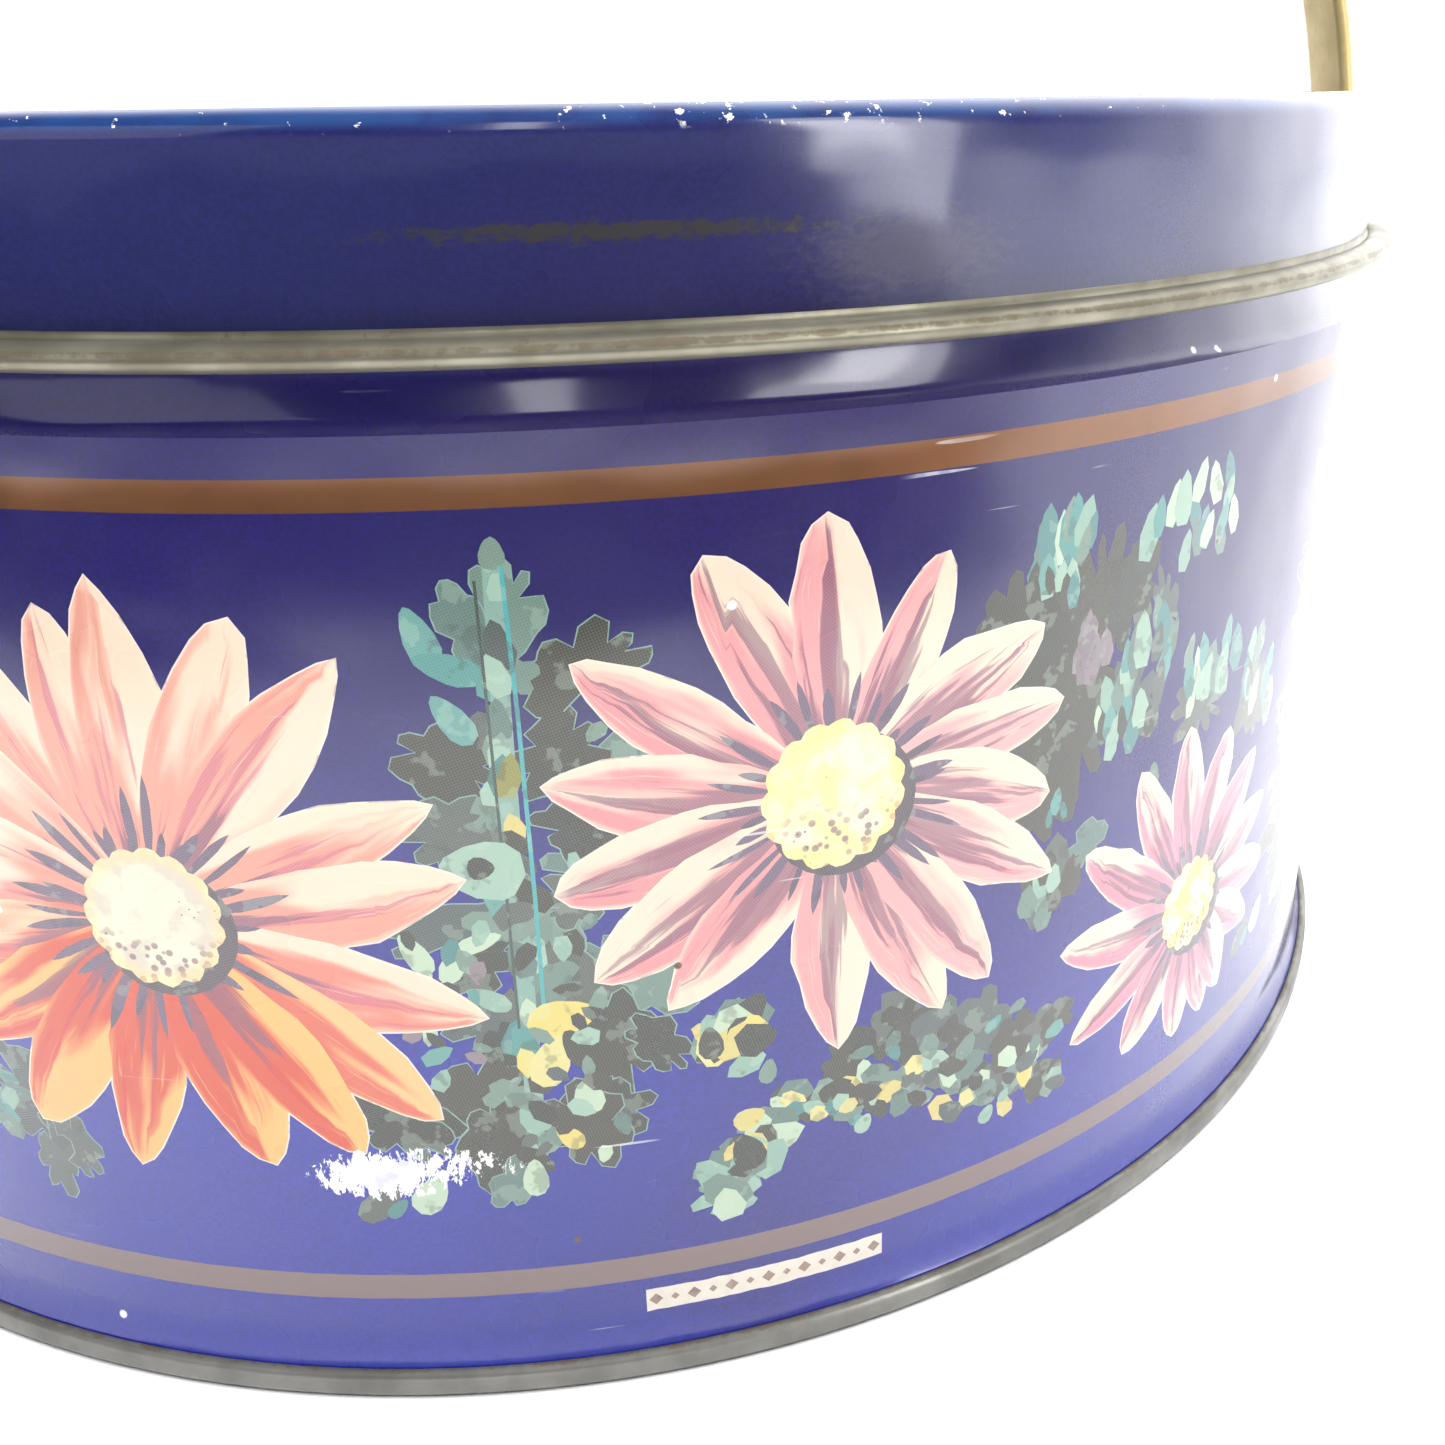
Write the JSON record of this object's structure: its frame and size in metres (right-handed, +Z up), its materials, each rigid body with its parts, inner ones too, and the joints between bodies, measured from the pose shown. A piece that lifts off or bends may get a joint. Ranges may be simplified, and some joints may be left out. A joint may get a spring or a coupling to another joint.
{
  "type": "lithographed cake tin",
  "caption": "Round printed tinplate cake tin with a lift-off lid, a seamed base and a swinging bail handle.",
  "frame": {"origin": "centre of the base, on the surface that the tin stands on", "axes": "+Z up, +X along the line of the handle's two pivots, -Y towards the front of the print"},
  "size_m": [0.242, 0.2238, 0.211],
  "materials": {
    "printed_wall": "glossy navy enamel print with daisies, leaves and two gold lines on tinplate",
    "printed_lid": "glossy navy enamel print on tinplate, worn at the top corner",
    "bare_tinplate": "bare tinplate, dull and brown with tarnish at its edges",
    "gold_lacquer": "gold lacquer on tinplate, satin",
    "rivet_steel": "tinned steel, dull"
  },
  "bodies": {
    "tin": {"body_wall": "printed_wall", "base_plate": "bare_tinplate", "ear_bracket_left": "gold_lacquer", "ear_bracket_right": "gold_lacquer", "pivot_rivet_left": "rivet_steel", "pivot_rivet_right": "rivet_steel", "bracket_rivets_left": "rivet_steel", "bracket_rivets_right": "rivet_steel"},
    "lid": {"lid_shell": "printed_lid"},
    "bail": {"bail_handle": "gold_lacquer"}
  },
  "joints": [
    {"name": "lid_lift", "type": "slide", "parent": "tin", "child": "lid", "axis": [0, 0, 1], "range_m": [0, 0.022]},
    {"name": "handle_swing", "type": "hinge", "parent": "tin", "child": "bail", "pos_m": [0, 0, 0.08], "axis": [1, 0, 0], "range_deg": [-117, 117]}
  ]
}
